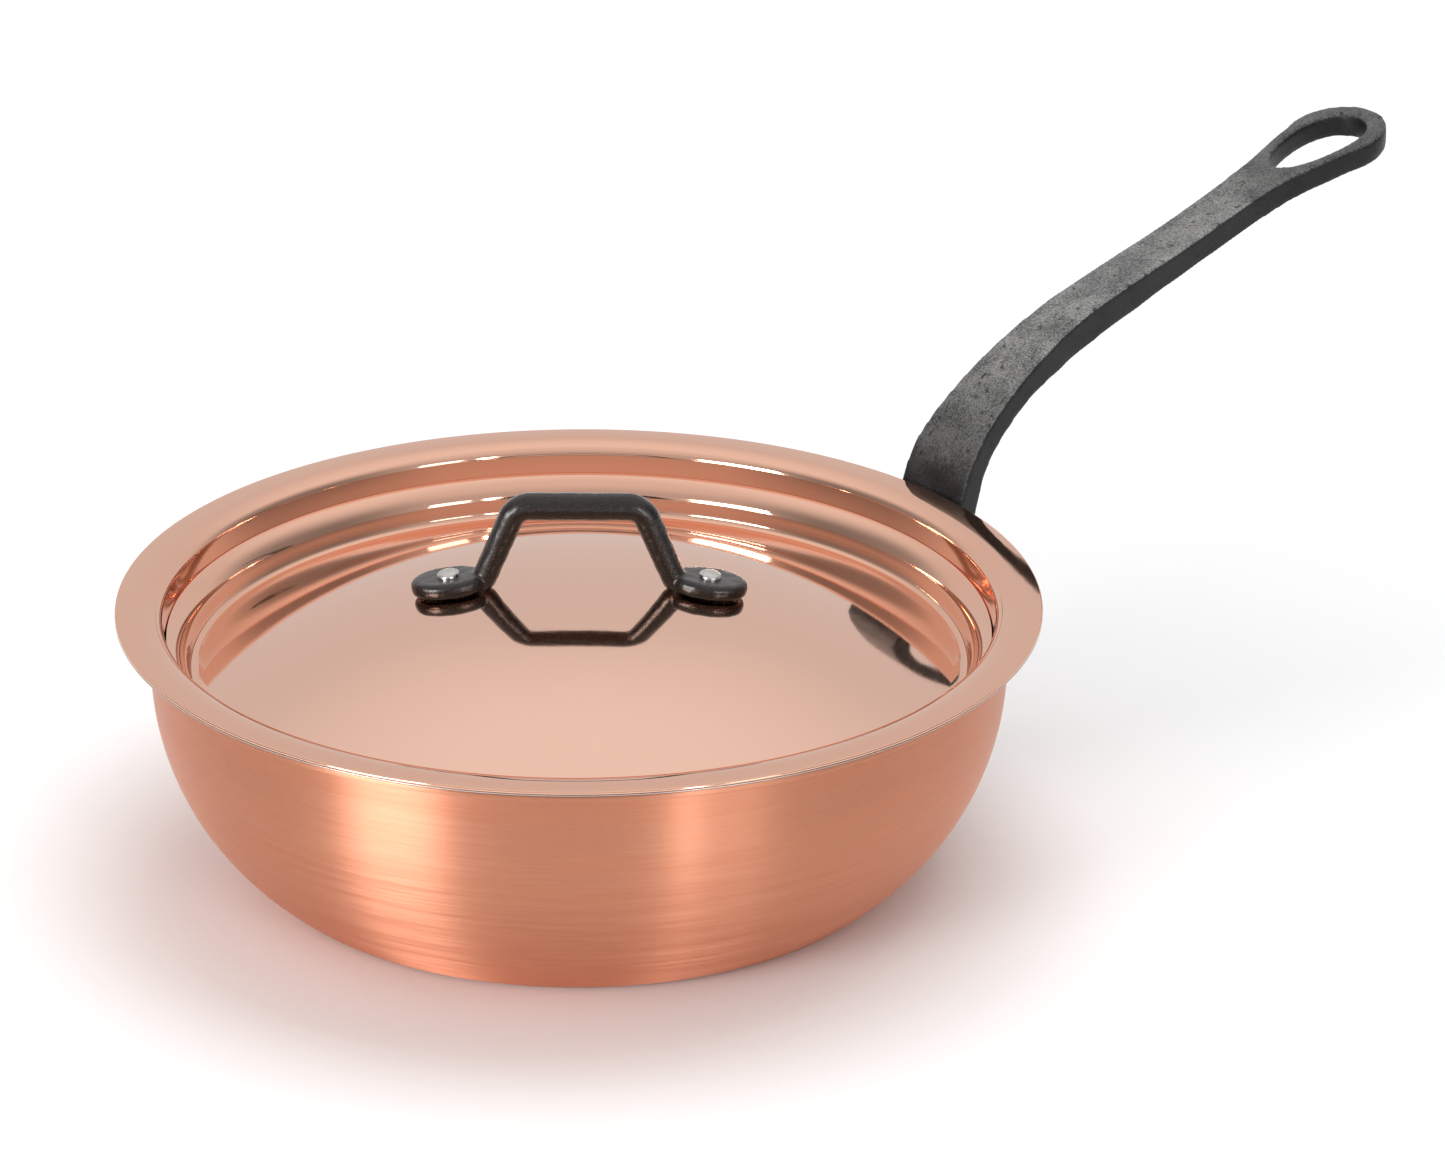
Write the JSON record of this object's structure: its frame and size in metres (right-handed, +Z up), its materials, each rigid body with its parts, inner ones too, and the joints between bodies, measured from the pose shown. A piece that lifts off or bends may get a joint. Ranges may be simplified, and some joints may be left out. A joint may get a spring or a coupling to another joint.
{
  "type": "saute pan with lid",
  "caption": "Round copper saute pan with curved sides and flat base, a long riveted cast-iron handle with a hanging loop, and a stepped domed copper lid with a bent bar handle.",
  "frame": {"origin": "on the pan's axis, at the flat underside of its base", "axes": "+Z up along the pan's axis, +X towards the end of the long handle, +Y to the left of the handle"},
  "size_m": [0.438, 0.26, 0.1558],
  "materials": {
    "brushed_copper": "copper, brushed around the axis",
    "polished_copper": "copper, mirror polished",
    "satin_steel": "satin stainless steel",
    "cast_iron": "dark oxidised cast iron, fine grain",
    "rivet_steel": "stainless steel, lightly worn"
  },
  "bodies": {
    "pan": {"pan_copper_shell": "brushed_copper", "pan_steel_lining": "satin_steel", "pan_handle": "cast_iron", "pan_rivet_1": "rivet_steel", "pan_rivet_2": "rivet_steel", "pan_rivet_3": "rivet_steel"},
    "lid": {"lid_copper_shell": "polished_copper", "lid_steel_lining": "satin_steel", "lid_handle": "cast_iron", "lid_rivet_1": "rivet_steel", "lid_rivet_2": "rivet_steel"}
  },
  "joints": [
    {"name": "lid_lift", "type": "slide", "parent": "pan", "child": "lid", "axis": [0, 0, 1], "range_m": [0, 0.12]}
  ]
}
